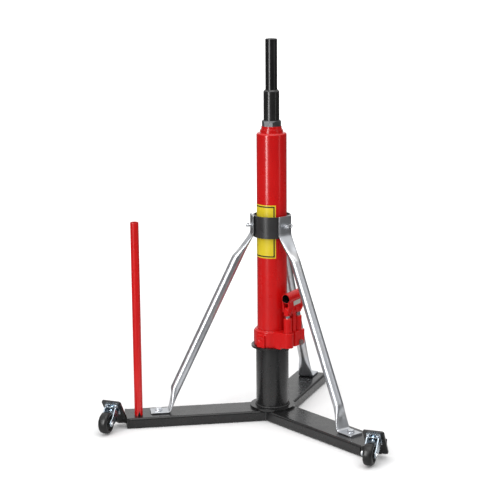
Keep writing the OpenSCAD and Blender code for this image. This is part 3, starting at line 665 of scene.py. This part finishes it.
def caster(suffix):
    """Fork, axle and wheel of one caster. Returns the bolts of its top plate."""
    joint = JOINTS["caster_swivel_" + suffix]
    wheel_joint = JOINTS["wheel_spin_" + suffix]
    away = Vector(joint["axis"]).normalized()
    origin = Vector(joint["pos_m"])
    up = SIDEWAYS.cross(away)
    up = up if up.z > 0 else -up
    axle = Vector(wheel_joint["pos_m"])
    reach = (axle - origin).dot(away)
    rise = (axle - origin).dot(up)

    # crown of the fork, a pressed dish under the raceway
    swivel = pose_on(origin, away)
    dish = millimetres([(5.6, 11.4), (13.0, 11.4), (15.0, 11.9), (15.6, 13.0), (15.2, 14.6), (13.6, 15.8),
                        (10.0, 16.3), (5.6, 16.3)])
    crown = lathe(dish, swivel, 64)
    nut = hex_head(13 * MM, 3.4 * MM, raised(swivel, 16.4 * MM), 0.2)

    def local(x, out, lift):
        return origin + SIDEWAYS * x + away * out + up * lift

    # cheeks: rounded at the axle, waisted, and spread at the crown
    outline = []
    for k in range(13):
        a = math.radians(-80 + k * 160 / 12)
        outline.append((reach + 9 * MM * math.cos(a), rise + 9 * MM * math.sin(a)))
    outline += millimetres([(44, 9.0), (36, 10.2), (28, 12.2), (22, 14.2), (17, 15.4), (12.5, 15.2),
                            (12.0, 13.0), (12.0, -13.0), (12.5, -15.2), (17, -16.2), (22, -16.0),
                            (28, -15.2), (36, -14.4), (44, -13.6)])
    centre_out = sum(p[0] for p in outline) / len(outline)
    centre_lift = sum(p[1] for p in outline) / len(outline)
    boss_profile = millimetres([(4.2, 15.8), (7.6, 15.8), (7.4, 16.8), (6.4, 17.3), (4.2, 17.3)])
    cheeks = []
    for s in (-1, 1):
        rings = []
        for x, inset in ((13.2, 0.5), (13.5, 0.12), (14.0, 0.0), (15.4, 0.0), (15.9, 0.12), (CHEEK_OUT, 0.5)):
            ring = []
            for out, lift in outline:
                d = Vector((out - centre_out, lift - centre_lift))
                d = d * (1 - inset * MM / max(d.length, 1e-6))
                ring.append(local(s * x * MM, centre_out + d.x, centre_lift + d.y))
            rings.append(ring)
        cheeks.append(loft(rings))
        # pressed boss round the axle
        boss = pose_on(axle, (s, 0, 0), (0, 0, 1))
        cheeks.append(lathe(boss_profile, boss, 40))
    # arched bridge joining both cheeks over the wheel
    rings = []
    for k in range(13):
        x = (-CHEEK_OUT + 2 * CHEEK_OUT * k / 12) * MM
        edge = smooth((CHEEK_OUT * MM - abs(x)) / (3.5 * MM))
        under, top = (11.3 + (1 - edge) * 1.6) * MM, 15.2 * MM
        rings.append([local(x, under, 15.0 * MM), local(x, top, 15.4 * MM),
                      local(x, top, -16.0 * MM), local(x, under, -15.6 * MM)])
    fork = [crown, nut] + cheeks + [loft(rings)]
    made = piece("fork_" + suffix, fork, "swivel_" + suffix, CASTER_ZINC, 35)
    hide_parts("caster_fork_" + suffix)

    # axle bolt with a chamfered head, and its nut
    left, right = pose_on(axle, (-1, 0, 0), (0, 0, 1)), pose_on(axle, (1, 0, 0), (0, 0, 1))
    bolt = [thread(4 * MM, -16 * MM, 22 * MM, left),
            hex_head(11 * MM, 3.0 * MM, raised(right, BOSS_END), 0.1),
            hex_head(11 * MM, 3.8 * MM, raised(left, BOSS_END), 0.4)]
    made = piece("axle_" + suffix, bolt, "swivel_" + suffix, MAT["zinc_plate"], 30)
    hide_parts("caster_axle_" + suffix)

    # wheel: crowned tread, rounded shoulders, recessed web with ribs, hub boss
    hub = pose_on(axle, (1, 0, 0), (0, 0, 1))
    low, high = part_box("caster_wheel_" + suffix)
    w = (high[0] - low[0]) / 2 / MM
    q = (high[2] - low[2]) / 2 / MM
    one_side = [(4.1, w - 0.2), (7.6, w - 0.2), (8.4, w - 0.6), (8.8, w - 2.3), (9.6, w - 2.9),
                (17.6, w - 2.9), (18.6, w - 2.4), (19.2, w - 0.7), (20.0, w - 0.15), (22.0, w),
                (24.0, w - 0.4), (25.7, w - 1.5), (26.9, w - 3.2), (27.5, w - 5.2), (27.85, w - 7.8),
                (q, 0.5)]
    profile = millimetres([(a, -b) for a, b in one_side] + list(reversed(one_side)))
    tyre = lathe(profile, hub, 112)
    ribs = []
    for k in range(6):
        for s in (-1, 1):
            turn = hub @ Matrix.Rotation(math.radians(60 * k + 12), 4, "Z")
            h0, h1 = s * (w - 3.2) * MM, s * (w - 1.1) * MM
            ring = []
            for x, half_w in ((8.6 * MM, 1.3 * MM), (13 * MM, 1.0 * MM), (18.6 * MM, 1.3 * MM)):
                ring.append([turn @ Vector((x, -half_w, h0)), turn @ Vector((x, -half_w * 0.6, h1)),
                             turn @ Vector((x, half_w * 0.6, h1)), turn @ Vector((x, half_w, h0))])
            ribs.append(loft(ring))
    made = piece("wheel_" + suffix, [tyre] + ribs, "wheel_" + suffix,
                 MAT["wheel_polymer"], 32)
    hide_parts("caster_wheel_" + suffix)

    # bolts of the top plate, heads on the front, nuts behind
    bolts = []
    for sx in (-1, 1):
        for sz in (-1, 1):
            spot = origin + SIDEWAYS * sx * PLATE_BOLT + up * sz * PLATE_BOLT
            front, back = pose_on(spot, away), pose_on(spot, -away)
            bolts.append(hex_head(10 * MM, 3.0 * MM, raised(front, 7.5 * MM), 0.5 * sx + sz))
            bolts.append(thread(3 * MM, -7 * MM, 8 * MM, front))
            bolts.append(thread(3 * MM, 0, 7 * MM, back))
            bolts.append(hex_head(10 * MM, 4.6 * MM, raised(back, 0.1 * MM), 0.3 * sz - sx))
    return bolts


plate_bolts = caster("left") + caster("right")
made = piece("caster_bolt_set", plate_bolts, "frame", MAT["zinc_plate"], 30)
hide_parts("caster_plate_bolts")

# ---- Floor, light and camera ----

mesh = bpy.data.meshes.new("floor")
wide, level = 70.0, -0.4 * MM
corners = [(-wide, -wide, level), (wide, -wide, level), (wide, wide, level), (-wide, wide, level)]
mesh.from_pydata(corners, [], [(0, 1, 2, 3)])
floor = bpy.data.objects.new("floor", mesh)
bpy.context.scene.collection.objects.link(floor)
mesh.materials.append(floor_finish("studio floor"))


def area_light(name, azimuth, distance, height, size, power, sheen_only=False):
    """Rectangular lamp that faces the middle of the jack. A sheen-only lamp shows in reflections alone."""
    data = bpy.data.lights.new(name, "AREA")
    data.shape = "RECTANGLE"
    data.size, data.size_y = size
    data.energy = power
    lamp = bpy.data.objects.new(name, data)
    bpy.context.scene.collection.objects.link(lamp)
    lamp.visible_diffuse = not sheen_only
    a = math.radians(azimuth)
    spot = Vector((math.sin(a) * distance, math.cos(a) * distance, height))
    lamp.location = spot
    lamp.rotation_mode = "QUATERNION"
    lamp.rotation_quaternion = (Vector((0, 0, 0.5)) - spot).to_track_quat("-Z", "Y")


area_light("strip_left", 199, 3.0, 1.2, (0.45, 2.6), 34)
area_light("sheen_left", 197, 3.1, 1.2, (1.1, 2.6), 40, sheen_only=True)
area_light("side_right", 98, 3.2, 1.1, (0.6, 2.4), 5)
area_light("overhead", 150, 0.9, 3.2, (2.4, 2.4), 32)

world = bpy.data.worlds.new("studio")
bpy.context.scene.world = world
world.use_nodes = True
tree = world.node_tree
tree.nodes.clear()
coord = tree.nodes.new("ShaderNodeTexCoord")
split = tree.nodes.new("ShaderNodeSeparateXYZ")
tree.links.new(coord.outputs["Generated"], split.inputs[0])
rise = tree.nodes.new("ShaderNodeMapRange")
rise.interpolation_type = "SMOOTHSTEP"
tree.links.new(split.outputs[2], rise.inputs["Value"])
for key, value in (("From Min", 0.10), ("From Max", 0.80), ("To Min", 0.12), ("To Max", 1.15)):
    rise.inputs[key].default_value = value
# glow low down behind the object, which the tops of the legs reflect
GLOW_AZ = math.radians(330)
toward = tree.nodes.new("ShaderNodeVectorMath")
toward.operation = "DOT_PRODUCT"
tree.links.new(coord.outputs["Generated"], toward.inputs[0])
toward.inputs[1].default_value = (math.sin(GLOW_AZ), math.cos(GLOW_AZ), 0.0)
glow = tree.nodes.new("ShaderNodeMapRange")
glow.interpolation_type = "SMOOTHSTEP"
tree.links.new(toward.outputs["Value"], glow.inputs["Value"])
for key, value in (("From Min", 0.80), ("From Max", 0.97), ("To Min", 0.0), ("To Max", 0.75)):
    glow.inputs[key].default_value = value
total = tree.nodes.new("ShaderNodeMath")
total.operation = "ADD"
tree.links.new(rise.outputs["Result"], total.inputs[0])
tree.links.new(glow.outputs["Result"], total.inputs[1])
seen = tree.nodes.new("ShaderNodeLightPath")
pick = tree.nodes.new("ShaderNodeMix")
tree.links.new(seen.outputs["Is Camera Ray"], pick.inputs[0])
tree.links.new(total.outputs[0], pick.inputs[2])
pick.inputs[3].default_value = 1.0
back = tree.nodes.new("ShaderNodeBackground")
back.inputs["Color"].default_value = (1, 1, 1, 1)
tree.links.new(pick.outputs[0], back.inputs["Strength"])
tree.links.new(back.outputs[0], tree.nodes.new("ShaderNodeOutputWorld").inputs["Surface"])

bpy.context.scene.view_settings.view_transform = "Standard"

camera = bpy.data.objects.new("camera", bpy.data.cameras.new("camera"))
bpy.context.scene.collection.objects.link(camera)
bpy.context.scene.camera = camera
camera.data.sensor_width = 36.0
camera.data.lens = 107.8
at = Vector((1.3164, -3.6325, 1.2837))
look = Vector((-0.347, 0.9145, -0.2079)).normalized()
roll = -0.007
right = look.cross(Vector((0, 0, 1))).normalized()
side = right * math.cos(roll) + right.cross(look) * math.sin(roll)
above = side.cross(look)
camera.matrix_world = Matrix(((side.x, above.x, -look.x, at.x),
                              (side.y, above.y, -look.y, at.y),
                              (side.z, above.z, -look.z, at.z),
                              (0, 0, 0, 1)))
